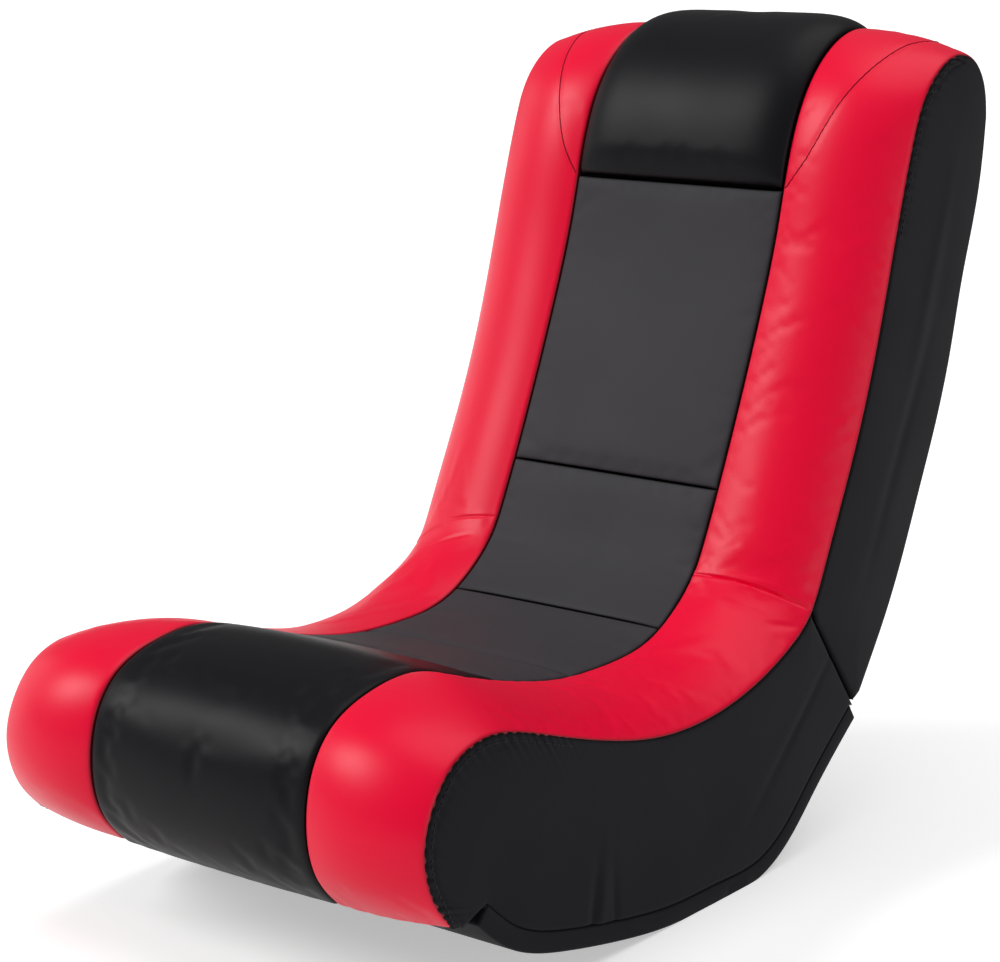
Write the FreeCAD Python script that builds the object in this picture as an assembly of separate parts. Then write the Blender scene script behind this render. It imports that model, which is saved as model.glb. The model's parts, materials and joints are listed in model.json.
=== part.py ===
"""Folding floor rocker chair.

A seat and a backrest, each a frame of plywood cheeks and battens under a bent liner board, carry foam pads with
sewn vinyl covers. Two steel hinges join them at the crease, and the seat stands on a bent rocker board.

X runs across the chair, +Y points to its back and +Z up. The origin is on the floor, under the flat that the
rocker rests on. Sizes are in millimetres, and angles are in degrees.
"""
import FreeCAD, Part
import math
import os

Vector = FreeCAD.Vector

# Overall sizes: the width, and the box round the seams as seen from the side
overall_width = 425.0
seam_length = 810.0
seam_height = 682.0

# Widths across the chair
centre_width = 217.0
side_panel_thickness = 10.0
cheek_thickness = 18.0

# Layers, from the pads down
cover_thickness = 1.2
liner_thickness = 3.0
edge_padding = 3.0
soft_gap = 0.3
under_pads_depth = 20.0
batten_width = 45.0
seat_batten_thickness = 18.0
back_batten_thickness = 12.0
front_board_width = 76.0
front_board_setback = 14.0
rear_panel_thickness = 4.0
lining_thickness = 1.5

# Pads
bolster_bulge = 10.0
bolster_bulge_share = 0.36
centre_crown = 4.0
roll_crown = 6.0
headrest_crown = 10.0
channel_depth = 5.0
channel_reach = 22.0
facet_turn = 14.0
facet_length = 75.0

# Fold between seat and backrest
split_gap = 2.0
pivot_depth = 14.0
fold_back_angle = 82.0
fold_seat_angle = 179.0
fold_back_reach = 175.0
fold_seat_reach = 100.0

# Hinges
pin_radius = 4.0
pin_clearance = 0.05
leaf_thickness = 3.0
leaf_gap = 0.3
leaf_collar = 3.0
leaf_width = 20.0
leaf_length = 92.0
leaf_eye_radius = 10.5
seat_leaf_angle = 232.0
back_leaf_angle = 40.0
hinge_relief = 15.0
heel_start = 16.0
heel_length = 14.0
heel_width = 18.0
pin_head_radius = 7.5
pin_head_thickness = 2.5

# Screws
screw_radius = 2.0
screw_head_radius = 4.0
screw_head_depth = 2.4
hinge_screw_length = 12.0
hinge_screw_places = (48.0, 78.0)

# Rocker
rocker_board_thickness = 15.0
rocker_cover_thickness = 1.5
rocker_facets = 24

# Seams of one side, as seen from the side. A station is the side seam, then the seam beside the centre panel.
SEAT_STATIONS = [
    ((-318, 86), (-322, 80)),
    ((-339, 111), (-347, 108)),
    ((-350, 146), (-358, 147)),
    ((-343, 178), (-352, 188)),
    ((-322, 205), (-331, 217)),
    ((-285, 218.5), (-290, 234)),
    ((-249, 214.5), (-244, 238)),
    ((-200, 199), (-193, 224.5)),
    ((-130, 177), (-124, 203)),
    ((-60, 162), (-56, 188.5)),
    ((10, 160), (8, 185)),
    ((85, 173.5), (75, 193.5)),
    ((125, 188.5), (110, 212)),
]
CREASE_STATION = ((160.5, 212), (137, 236))
BACK_STATIONS = [
    ((180, 245), (151, 258)),
    ((205, 296), (173, 303)),
    ((232, 354), (201, 365)),
    ((258, 424), (229, 432)),
    ((283, 508.5), (259, 516)),
    ((305, 580), (280, 590)),
    ((325, 626), (305, 636)),
    ((352, 652), (340, 667)),
    ((385, 663), (384, 682)),
    ((418, 655), (424, 672)),
    ((437, 630), (447, 638)),
    ((441, 606), (452, 606)),
]
REAR_LINE = [(441, 606), (437, 570), (428, 528), (408, 468), (390, 402), (366, 337), (341, 284), (313, 226),
             (285, 178), (264, 148), (246, 123)]
ROCKER_LINE = [(-291.5, 81), (-254, 51), (-182, 25), (-100, 8), (-42, 0.3), (25, -1.6), (90, 0.4), (130, 17),
               (174, 52), (239, 101.5)]
NOTCH = [(-306, 84), (-290, 90)]
SEAT_REAR_CORNER = (236, 113)
BACK_REAR_CORNER = (236, 118)
SPLIT_END = (236, 115.4)

# Sewn channels across the centre panel, each a point on its seam line
ROLL_SEAM = (-134, 205)
SEAT_SEAM = (-37, 186)
LOWER_FOLD_SEAM = (87, 198)
UPPER_FOLD_SEAM = (174, 301)
HEADREST_SEAM = (271, 548)

# Where the bolsters' stiff foam ends on each side of the fold, as points on the centre seam
BOLSTER_SEAT_SEAM = (45, 186)
BOLSTER_BACK_SEAM = (190, 340)

# Battens and wider boards, each by the side seam point it sits behind
FRONT_BOARDS = {
    "seat_front_board": (-349, 138),
    "seat_roll_board": (-256, 216),
}
SEAT_BATTENS = {
    "seat_middle_rail": (-60, 162),
    "seat_rear_rail": (62, 167),
}
BACK_BATTENS = {
    "back_bottom_rail": (208, 302),
    "back_middle_rail": (250, 402),
    "back_upper_rail": (290, 532),
    "back_top_rail": (372, 660),
}

drawn_length = 810.0
drawn_height = 682.0
half_width = overall_width / 2
half_centre = centre_width / 2
cheek_outer = half_width - side_panel_thickness
seat_cheek_inner = cheek_outer - cheek_thickness
back_cheek_inner = seat_cheek_inner + leaf_thickness + leaf_collar
liner_top = -edge_padding
liner_bottom = liner_top - liner_thickness
rocker_depth = rocker_board_thickness + rocker_cover_thickness
across = Vector(1, 0, 0)


def scaled(pair):
    """A drawn (y, z) as a point, stretched to the overall sizes."""
    return Vector(0, pair[0] * seam_length / drawn_length, pair[1] * seam_height / drawn_height)


def polar(angle):
    """The unit vector at an angle above +Y, in the plane of the side view."""
    return Vector(0, math.cos(math.radians(angle)), math.sin(math.radians(angle)))


def smooth_curve(points, parameters=None):
    """The smooth curve through the points."""
    curve = Part.BSplineCurve()
    if parameters:
        curve.interpolate(Points=points, Parameters=parameters)
    else:
        curve.interpolate(points)
    return curve


stations = SEAT_STATIONS + [CREASE_STATION] + BACK_STATIONS
outer_points = [scaled(outer) for outer, inner in stations]
inner_points = [scaled(inner) for outer, inner in stations]

# Both seam lines share their parameter: the length walked midway between them
walked = [0.0]
for before, after in zip(range(len(stations)), range(1, len(stations))):
    step = (outer_points[after] + inner_points[after] - outer_points[before] - inner_points[before]) * 0.5
    walked.append(walked[-1] + step.Length)
side_seam = smooth_curve(outer_points, walked)
centre_seam = smooth_curve(inner_points, walked)
crease_at = walked[len(SEAT_STATIONS)]
crease = outer_points[len(SEAT_STATIONS)]
rear_line = smooth_curve([scaled(pair) for pair in REAR_LINE])
rocker_line = smooth_curve([scaled(pair) for pair in ROCKER_LINE])
split = (scaled(SPLIT_END) - crease).normalize()
to_back = Vector(0, -split.z, split.y)
pivot = crease + split * pivot_depth


def at(along, x, height):
    """A point at a distance along the seams, x across, and a height above the side seam towards the sitter."""
    foot = side_seam.value(along)
    rise = centre_seam.value(along) - foot
    place = foot + rise * (height / rise.Length)
    return Vector(x, place.y, place.z)


def seam_height_at(along):
    """How far the centre seam stands above the side seam."""
    return (centre_seam.value(along) - side_seam.value(along)).Length


def facet_places():
    """Places along the seams, close enough that a straight step neither turns nor runs too far."""
    found = [walked[0]]
    for low, high in zip(walked, walked[1:]):
        turns = []
        for curve in (side_seam, centre_seam):
            turns.append(math.degrees(curve.tangent(low)[0].getAngle(curve.tangent(high)[0])))
        steps = max(1, math.ceil(max(turns) / facet_turn), math.ceil((high - low) / facet_length))
        found += [low + (high - low) * step / steps for step in range(1, steps + 1)]
    return found


def along_at(pair):
    """The place along the seams nearest to a drawn point of the centre seam."""
    return centre_seam.parameter(scaled(pair))


bolster_seams = [walked[0], along_at(BOLSTER_SEAT_SEAM), along_at(BOLSTER_BACK_SEAM), walked[-1]]
places = sorted(set(facet_places() + bolster_seams + [crease_at]))


def seam_line(height, first, last):
    """The line at a height above the side seam, between two places."""
    chosen = [first] + [place for place in places if first < place < last] + [last]
    return [at(place, 0, height) for place in chosen]


def offset(curve, distance, trim=0.0):
    """Points of a curve moved square to it, to its left as it is walked, with its two ends trimmed."""
    points = []
    for number in range(rocker_facets + 1):
        parameter = curve.FirstParameter + (curve.LastParameter - curve.FirstParameter) * number / rocker_facets
        tangent = curve.tangent(parameter)[0]
        points.append(curve.value(parameter) + Vector(0, -tangent.z, tangent.y) * distance)
    points[0] += (points[1] - points[0]).normalize() * trim
    points[-1] += (points[-2] - points[-1]).normalize() * trim
    return points


def panel(low, high, *runs):
    """A slab between two x values, on the closed outline that joins the runs of points."""
    outline = []
    for run in runs:
        for point in run:
            if not outline or (point - outline[-1]).Length > 0.01:
                outline.append(point)
    if (outline[0] - outline[-1]).Length > 0.01:
        outline.append(outline[0])
    else:
        outline[-1] = outline[0]
    face = Part.Face(Part.makePolygon(outline))
    face.translate(across * low)
    return face.extrude(across * (high - low))


def mirrored(shape):
    """The same piece on the other side of the chair."""
    return shape.mirror(Vector(0, 0, 0), across)


def loft(wires):
    """A solid through the sections, straight from each to the next."""
    solid = Part.makeLoft(wires, True, True)
    if solid.Volume < 0:
        solid.reverse()
    return solid


def section(along, arc_from, arc_over, arc_to, *corners):
    """A closed section at a place along the seams: an arc through three (x, height) pairs, then straight sides."""
    points = [at(along, *pair) for pair in (arc_from, arc_over, arc_to) + corners]
    edges = [Part.Arc(points[0], points[1], points[2]).toShape()]
    ring = points[2:] + [points[0]]
    for start, end in zip(ring, ring[1:]):
        edges.append(Part.makeLine(start, end))
    return Part.Wire(edges)


# Keep-out regions at the fold, as prisms right across the chair
far = 1500.0


def region(*points):
    """A prism across the whole chair on a polygon of the side view."""
    wire = Part.makePolygon(list(points) + [points[0]])
    face = Part.Face(wire)
    face.translate(across * -far)
    return face.extrude(across * (2 * far))


def beyond_seat(clearance):
    """All that the seat's pieces stay out of: the backrest's side of the split, and the fold's wedge."""
    start = pivot - to_back * clearance
    arm = start + polar(fold_seat_angle) * fold_seat_reach
    rise = arm + polar(fold_seat_angle - 90) * far
    return region(start, arm, rise, rise + Vector(0, far, 0), start + to_back * (2 * far) + split * far,
                  start + split * far)


def beyond_back(clearance):
    """All that the backrest's pieces stay out of: the seat's side of the split, and the fold's wedge."""
    start = pivot + to_back * clearance
    arm = start + polar(fold_back_angle) * fold_back_reach
    rise = arm + polar(fold_back_angle + 90) * far
    return region(start, arm, rise, rise - Vector(0, far, far), start - to_back * (2 * far) + split * far,
                  start + split * far)


seat_cut = beyond_seat(split_gap / 2)
back_cut = beyond_back(split_gap / 2)
seat_board_cut = beyond_seat(split_gap / 2 + lining_thickness)
back_board_cut = beyond_back(split_gap / 2 + lining_thickness)
under_pads = panel(-cheek_outer, cheek_outer, seam_line(liner_top + soft_gap, walked[0], walked[-1]),
                   seam_line(-under_pads_depth, walked[0], walked[-1])[::-1])
pieces = {}


def both_sides(name, shape):
    """Keep a piece of the right side, and its mirror image on the left."""
    pieces[name + "_right"] = shape
    pieces[name + "_left"] = mirrored(shape)


# Bolsters
def bolster_section(along, layer):
    """The bolster at a place: an arc from the side seam up and over to the centre seam. Layers are cover or foam."""
    height = seam_height_at(along)
    bulge = bolster_bulge + bolster_bulge_share * height
    middle = (half_width + half_centre) / 2
    top = height / 2 + bulge
    if layer == "cover":
        return Part.Wire([
            Part.Arc(at(along, half_width, 0), at(along, middle, top), at(along, half_centre, height)).toShape(),
            Part.makeLine(at(along, half_centre, height), at(along, half_centre, height - cover_thickness)),
            Part.Arc(at(along, half_centre, height - cover_thickness), at(along, middle, top - cover_thickness),
                     at(along, half_width - 1.6 * cover_thickness, 0)).toShape(),
            Part.makeLine(at(along, half_width - 1.6 * cover_thickness, 0), at(along, half_width, 0)),
        ])
    under = cover_thickness + soft_gap
    shelf = cheek_outer - soft_gap
    return section(along,
                   (half_width - 2 * under, soft_gap), (middle, top - under), (half_centre, height - under),
                   (half_centre, 2 * liner_top), (shelf, 2 * liner_top), (shelf, soft_gap))


for name, first, last in zip(("seat_bolster", "bolster_fold", "back_bolster"), bolster_seams, bolster_seams[1:]):
    inside = [place for place in places if first + soft_gap < place < last - soft_gap]
    stretch = [first + soft_gap] + inside + [last - soft_gap]
    both_sides(name + "_cover", loft([bolster_section(along, "cover") for along in stretch]))
    both_sides(name + "_foam", loft([bolster_section(along, "foam") for along in stretch]).cut(under_pads))


# Centre pads
def pad(start, end, crown, channels=()):
    """The foam and the cover of a centre pad: crowned across, and drawn in at both ends and at each channel."""
    seams = [start] + list(channels) + [end]
    stops = {place for place in places if start < place < end}
    for low, high in zip(seams, seams[1:]):
        stops |= {low, high}
        for share in (0.1, 0.4, 1.0):
            stops |= {low + share * channel_reach, high - share * channel_reach}
    chosen = []
    for stop in sorted(stops):
        if not chosen or stop - chosen[-1] > 1.5:
            chosen.append(stop)
    chosen[-1] = end
    edge = half_centre - soft_gap
    deep = 2 * liner_top

    def layer(along, seam, top, below, floor):
        """The pad's section with its top lowered, down to a floor."""
        return section(along, (-edge, seam - below), (0, top - below), (edge, seam - below), (edge, floor), (-edge, floor))

    wholes = []
    insides = []
    foams = []
    for along in chosen:
        near = min(1.0, min(abs(along - stop) for stop in seams) / channel_reach)
        fullness = math.sqrt(1 - (1 - near) ** 2)
        seam = seam_height_at(along) - channel_depth * (1 - fullness)
        top = seam + crown * fullness + 0.5
        wholes.append(layer(along, seam, top, 0, deep))
        insides.append(layer(along, seam, top, cover_thickness, deep - 1))
        foams.append(layer(along, seam, top, cover_thickness + soft_gap, deep))
    return loft(foams).cut(under_pads), loft(wholes).cut(loft(insides))


def centre_pad(name, start, end, crown, channels=()):
    """Keep a centre pad's two layers, with a gap to the pads before and after it."""
    pieces[name + "_foam"], pieces[name + "_cover"] = pad(start + soft_gap, end - soft_gap, crown, channels)


centre_pad("front_roll", walked[0], along_at(ROLL_SEAM), roll_crown)
centre_pad("seat_center", along_at(ROLL_SEAM), along_at(LOWER_FOLD_SEAM), centre_crown, [along_at(SEAT_SEAM)])
centre_pad("lumbar", along_at(LOWER_FOLD_SEAM), along_at(UPPER_FOLD_SEAM), centre_crown)
centre_pad("back_center", along_at(UPPER_FOLD_SEAM), along_at(HEADREST_SEAM), centre_crown)
centre_pad("headrest", along_at(HEADREST_SEAM), walked[-1], headrest_crown)

# Bent liner boards under the pads
seat_top = seam_line(liner_top, places[0], crease_at)
seat_under = seam_line(liner_bottom, places[0], crease_at)
back_top = seam_line(liner_top, crease_at, places[-1])
back_under = seam_line(liner_bottom, crease_at, places[-1])
relief = Part.makeCylinder(hinge_relief, 2 * far, pivot - across * far, across)
rear_inside = offset(rear_line, -rear_panel_thickness)
rear_panel = panel(-cheek_outer, cheek_outer, offset(rear_line, 0), rear_inside[::-1])
rear_cover = panel(-cheek_outer, cheek_outer, offset(rear_line, 0), offset(rear_line, -cover_thickness)[::-1])
pieces["back_rear_cover"] = rear_cover
pieces["back_rear_foam"] = rear_panel.cut(rear_cover)
seat_liner = panel(-cheek_outer, cheek_outer, seat_top, seat_under[::-1])
back_liner = panel(-cheek_outer, cheek_outer, back_top, back_under[::-1])
pieces["seat_liner"] = seat_liner.cut(seat_board_cut).cut(relief)
pieces["back_liner"] = back_liner.cut(back_board_cut).cut(relief).cut(rear_panel)

# Rocker: a bent board in a vinyl tray, with a flat at its lowest point
rocker_bottom = offset(rocker_line, 0)
rocker_upper = offset(rocker_line, rocker_depth)
board_lower = offset(rocker_line, rocker_cover_thickness, rocker_cover_thickness)
board_upper = offset(rocker_line, rocker_depth, rocker_cover_thickness)
floor = Part.makeBox(2 * far, 2 * far, far, Vector(-far, -far, -far))
board_side = half_width - rocker_cover_thickness
board = panel(-board_side, board_side, board_lower, board_upper[::-1])
tray = panel(-half_width, half_width, rocker_bottom, rocker_upper[::-1])
pieces["rocker_board"] = board
pieces["rocker_cover"] = tray.cut(board).cut(floor)

# Cheeks, with round relief for the hinge
seat_heel = scaled(SEAT_REAR_CORNER)
seat_cheek = panel(seat_cheek_inner, cheek_outer, seat_under, [seat_heel], rocker_upper[::-1])
seat_cheek = seat_cheek.cut(seat_board_cut).cut(relief)
back_heel = scaled(BACK_REAR_CORNER)
back_cheek = panel(back_cheek_inner, cheek_outer, back_under[:-1], rear_inside[1:], [back_heel])
back_cheek = back_cheek.cut(back_board_cut).cut(relief).cut(rear_panel)

# Padded side panels
seat_edge = seam_line(-soft_gap, places[0], crease_at)
back_edge = seam_line(-soft_gap, crease_at, places[-1])
notch = [scaled(pair) for pair in NOTCH]
seat_outline = (seat_edge, [seat_heel], rocker_upper[::-1], notch[::-1])
back_outline = (back_edge, offset(rear_line, 0), [back_heel])
cover_inside = half_width - cover_thickness
both_sides("seat_side_foam", panel(cheek_outer, cover_inside, *seat_outline).cut(seat_cut))
both_sides("seat_side_cover", panel(cover_inside, half_width, *seat_outline).cut(seat_cut))
both_sides("back_side_foam", panel(cheek_outer, cover_inside, *back_outline).cut(back_cut))
both_sides("back_side_cover", panel(cover_inside, half_width, *back_outline).cut(back_cut))

# Linings over the open ends at the split
lining_start = heel_start + heel_length + 1
seat_lining_start = pivot + split * lining_start - to_back * (split_gap / 2)
seat_lining_end = seat_lining_start + split * ((seat_heel - seat_lining_start).dot(split))
seat_lining = region(seat_lining_start, seat_lining_end, seat_lining_end - to_back * lining_thickness,
                     seat_lining_start - to_back * lining_thickness)
back_lining_start = seat_lining_start + to_back * split_gap
back_lining_end = back_lining_start + split * ((back_heel - back_lining_start).dot(split))
back_lining = region(back_lining_start, back_lining_end, back_lining_end + to_back * lining_thickness,
                     back_lining_start + to_back * lining_thickness)
between_panels = Part.makeBox(2 * cheek_outer, 2 * far, 2 * far, Vector(-cheek_outer, -far, -far))
pieces["seat_rear_lining"] = seat_lining.common(between_panels)
pieces["back_bottom_lining"] = back_lining.common(between_panels)


# Battens between the cheeks
def batten(pair, width, thickness, setback=0.0):
    """A batten or board behind the liner board, square to it at a drawn point of the side seam."""
    along = side_seam.parameter(scaled(pair))
    tangent = side_seam.tangent(along)[0]
    normal = Vector(0, -tangent.z, tangent.y)
    top = side_seam.value(along) + normal * (liner_bottom - soft_gap - setback)
    half = tangent * (width / 2)
    deep = normal * thickness
    return region(top - half, top + half, top + half - deep, top - half - deep)


above_battens = panel(-far, far, seam_line(liner_bottom - soft_gap, walked[0], walked[-1]),
                      seam_line(under_pads_depth, walked[0], walked[-1])[::-1])
for battens, inner, sizes in (
        (FRONT_BOARDS, seat_cheek_inner, (front_board_width, seat_batten_thickness, front_board_setback)),
        (SEAT_BATTENS, seat_cheek_inner, (batten_width, seat_batten_thickness)),
        (BACK_BATTENS, back_cheek_inner, (batten_width, back_batten_thickness))):
    between_cheeks = Part.makeBox(2 * inner, 2 * far, 2 * far, Vector(-inner, -far, -far))
    for name, pair in battens.items():
        pieces[name] = batten(pair, *sizes).common(between_cheeks).cut(above_battens)


# Hinges: two leaves on the inner faces of the cheeks, turning on a riveted pin
def slab(shape, low, high):
    """The part of a region between two x values."""
    return shape.common(Part.makeBox(high - low, 2 * far, 2 * far, Vector(low, -far, -far)))


def disc(radius, low, high):
    """A round plate on the fold's axis."""
    return Part.makeCylinder(radius, high - low, pivot + across * low, across)


def leaf(angle, low, high):
    """A flat leaf: an eye at the pivot and a strap at an angle."""
    along = polar(angle)
    side = polar(angle + 90) * (leaf_width / 2)
    end = pivot + along * leaf_length
    strap = slab(region(pivot - side, end - side, end + side, pivot + side), low, high)
    return strap.fuse(disc(leaf_eye_radius, low, high)).cut(disc(pin_radius + pin_clearance, low, high))


seat_leaf_low = seat_cheek_inner - leaf_thickness
back_leaf_low = back_cheek_inner - leaf_thickness
seat_leaf = leaf(seat_leaf_angle, seat_leaf_low, seat_cheek_inner)

# The backrest's leaf has a heel that stops against the end of the seat's cheek
heel_near = pivot + split * heel_start - to_back * (split_gap / 2 + lining_thickness - leaf_gap)
heel_far = heel_near + split * heel_length
heel = region(heel_near, heel_far, heel_far + to_back * heel_width, heel_near + to_back * heel_width)
back_leaf = leaf(back_leaf_angle, back_leaf_low, back_cheek_inner).fuse(slab(heel, back_leaf_low, back_cheek_inner))

# The pin: a shaft with a head at each end, and a collar between the leaves
inner_head = seat_leaf_low - leaf_gap / 2
outer_head = back_cheek_inner + leaf_gap / 2
pin = disc(pin_radius, inner_head - pin_head_thickness, outer_head + pin_head_thickness)
for low, high in ((inner_head - pin_head_thickness, inner_head), (outer_head, outer_head + pin_head_thickness),
                  (seat_cheek_inner + leaf_gap / 2, back_leaf_low - leaf_gap / 2)):
    pin = pin.fuse(disc(pin_head_radius, low, high))


def screw(head, inwards, length):
    """A countersunk screw from the middle of its head."""
    cone = Part.makeCone(screw_head_radius, screw_radius, screw_head_depth, head, inwards)
    shank = Part.makeCylinder(screw_radius, length - screw_head_depth, head + inwards * screw_head_depth, inwards)
    return cone.fuse(shank)


def hinge_screws(angle, low):
    """The screws along a leaf, from its inner face."""
    return Part.makeCompound([screw(pivot + polar(angle) * distance + across * low, across, hinge_screw_length)
                              for distance in hinge_screw_places])


seat_screws = hinge_screws(seat_leaf_angle, seat_leaf_low)
back_screws = hinge_screws(back_leaf_angle, back_leaf_low)
both_sides("seat_hinge_leaf", seat_leaf.cut(seat_screws))
both_sides("back_hinge_leaf", back_leaf.cut(back_screws))
both_sides("hinge_pin", pin)
both_sides("seat_cheek", seat_cheek.cut(seat_screws))
both_sides("back_cheek", back_cheek.cut(back_screws))
pieces["seat_hinge_screws"] = Part.makeCompound([seat_screws, mirrored(seat_screws)])
pieces["back_hinge_screws"] = Part.makeCompound([back_screws, mirrored(back_screws)])

os.makedirs("parts", exist_ok=True)
for name, shape in pieces.items():
    shape.exportStep("parts/" + name + ".step")
print("fold axis", round(pivot.y, 3), round(pivot.z, 3), "pieces", len(pieces))
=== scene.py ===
"""Folding floor rocker chair, upholstered in red and black vinyl.

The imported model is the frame. Each pad, cover and panel of vinyl is made here as a mesh in the same place, in
metres, and stands for the plain solids that hold its room. X runs across the chair, +Y to its back, +Z up.
"""
import json
import math

import bpy
import numpy as np
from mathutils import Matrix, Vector


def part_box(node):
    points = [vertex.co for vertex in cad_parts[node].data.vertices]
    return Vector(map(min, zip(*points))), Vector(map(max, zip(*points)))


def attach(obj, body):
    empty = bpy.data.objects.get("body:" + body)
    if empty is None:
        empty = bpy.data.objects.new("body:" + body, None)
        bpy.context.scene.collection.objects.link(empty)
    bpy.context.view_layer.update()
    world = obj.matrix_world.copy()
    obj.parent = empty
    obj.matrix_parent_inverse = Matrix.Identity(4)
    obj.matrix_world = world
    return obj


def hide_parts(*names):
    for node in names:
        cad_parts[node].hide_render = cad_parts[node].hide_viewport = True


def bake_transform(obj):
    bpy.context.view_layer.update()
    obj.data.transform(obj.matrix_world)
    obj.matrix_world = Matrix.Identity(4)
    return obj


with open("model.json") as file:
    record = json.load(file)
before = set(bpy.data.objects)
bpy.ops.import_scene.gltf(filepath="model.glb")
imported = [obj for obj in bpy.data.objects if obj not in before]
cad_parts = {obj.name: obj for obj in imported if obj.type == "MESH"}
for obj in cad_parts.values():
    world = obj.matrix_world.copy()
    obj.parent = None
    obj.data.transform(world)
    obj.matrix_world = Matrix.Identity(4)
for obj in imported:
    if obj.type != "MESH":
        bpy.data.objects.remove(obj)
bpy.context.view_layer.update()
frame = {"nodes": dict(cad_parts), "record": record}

# Camera and studio. The photograph was taken from the sitter's front left, a little above the seat, with a
# long lens. A pale floor runs to the horizon. Four broad lamps light the chair from the front, both sides
# and above, and a weak even sky fills the shadows. The camera sees that sky as white.
AIM = Vector((0.0, 0.010, 0.323))
CAMERA_AZIMUTH = math.radians(37.6)
CAMERA_ELEVATION = math.radians(12.5)
CAMERA_DISTANCE = 2.155
LENS = 93.6

away = Vector((math.sin(CAMERA_AZIMUTH) * math.cos(CAMERA_ELEVATION),
               -math.cos(CAMERA_AZIMUTH) * math.cos(CAMERA_ELEVATION), math.sin(CAMERA_ELEVATION)))
camera_lens = bpy.data.cameras.new("camera")
camera_lens.lens = LENS
camera_lens.sensor_width = 36.0
camera_lens.clip_end = 200.0
camera = bpy.data.objects.new("camera", camera_lens)
camera.location = AIM + away * CAMERA_DISTANCE
camera.rotation_euler = (-away).to_track_quat("-Z", "Y").to_euler()
bpy.context.scene.collection.objects.link(camera)
bpy.context.scene.camera = camera
bpy.context.scene.view_settings.view_transform = "Standard"


def add_node(tree, kind, inputs=(), **settings):
    """Adds one node. Each input is a socket's name or number with its value, or with the output that feeds
    it."""
    made = tree.nodes.new(kind)
    for name, value in settings.items():
        setattr(made, name, value)
    for socket, value in dict(inputs).items():
        if isinstance(value, bpy.types.NodeSocket):
            tree.links.new(value, made.inputs[socket])
        else:
            made.inputs[socket].default_value = value
    return made


def linear(code):
    """An sRGB hex colour as linear red, green, blue and alpha. A part c gives c / 12.92 below 0.04045, and
    ((c + 0.055) / 1.055) ^ 2.4 above."""
    parts = np.array([int(code[place:place + 2], 16) for place in (1, 3, 5)]) / 255
    return (*np.where(parts <= 0.04045, parts / 12.92, ((parts + 0.055) / 1.055) ** 2.4).tolist(), 1.0)


def new_material(name):
    """An empty material, and its node tree with an output."""
    material = bpy.data.materials.new(name)
    material.use_nodes = True
    material.node_tree.nodes.clear()
    return material, material.node_tree


SKY = 0.20
LAMPS = {
    "key": ((-0.60, -0.53, 0.60), 1.85, 26.0),
    "left": ((-1.00, 0.00, 0.12), 0.32, 40.0),
    "right": ((0.92, -0.27, 0.20), 0.45, 24.0),
    "top": ((0.10, 0.20, 1.00), 1.25, 55.0),
}

world = bpy.data.worlds.new("studio")
world.use_nodes = True
world.node_tree.nodes.clear()
path = add_node(world.node_tree, "ShaderNodeLightPath")
soft_sky = add_node(world.node_tree, "ShaderNodeBackground", {"Strength": SKY, "Color": (1, 1, 1, 1)})
white_wall = add_node(world.node_tree, "ShaderNodeBackground", {"Strength": 1.0, "Color": (1, 1, 1, 1)})
both = add_node(world.node_tree, "ShaderNodeMixShader",
                {0: path.outputs["Is Camera Ray"], 1: soft_sky.outputs[0], 2: white_wall.outputs[0]})
add_node(world.node_tree, "ShaderNodeOutputWorld", {"Surface": both.outputs[0]})
bpy.context.scene.world = world
for name, (place, strength, spread) in LAMPS.items():
    lamp = bpy.data.lights.new(name, "SUN")
    lamp.energy = strength
    lamp.angle = math.radians(spread)
    holder = bpy.data.objects.new(name, lamp)
    holder.rotation_euler = (-Vector(place)).to_track_quat("-Z", "Y").to_euler()
    bpy.context.scene.collection.objects.link(holder)

# Matt painted floor. Its extra light is seen by the camera and in reflections only, so that it reads as
# white paper and keeps the shadow.
FLOOR_GLOW = 0.45
FLOOR_REACH = 90.0
painted_floor, tree = new_material("matt_white_floor")
path = add_node(tree, "ShaderNodeLightPath")
seen = add_node(tree, "ShaderNodeMath", {0: path.outputs["Is Camera Ray"], 1: path.outputs["Is Glossy Ray"]},
                operation="MAXIMUM")
glow = add_node(tree, "ShaderNodeMath", {0: seen.outputs[0], 1: FLOOR_GLOW}, operation="MULTIPLY")
paint = add_node(tree, "ShaderNodeBsdfDiffuse", {"Color": linear("#EDEDED")})
light = add_node(tree, "ShaderNodeEmission", {"Strength": glow.outputs[0]})
both = add_node(tree, "ShaderNodeAddShader", {0: paint.outputs[0], 1: light.outputs[0]})
add_node(tree, "ShaderNodeOutputMaterial", {"Surface": both.outputs[0]})
floor_mesh = bpy.data.meshes.new("floor")
floor_corners = [(x * FLOOR_REACH, y * FLOOR_REACH, 0) for x, y in ((-1, -1), (1, -1), (1, 1), (-1, 1))]
floor_mesh.from_pydata(floor_corners, [], [(0, 1, 2, 3)])
floor_mesh.materials.append(painted_floor)
floor = bpy.data.objects.new("floor", floor_mesh)
bpy.context.scene.collection.objects.link(floor)

# Hidden frame: plywood cheeks and battens under bent fibreboard liners, joined by zinc-plated steel hinges.
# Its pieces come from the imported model, sawn and left bare, and get only their finishes here.
MM = 0.001


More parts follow.
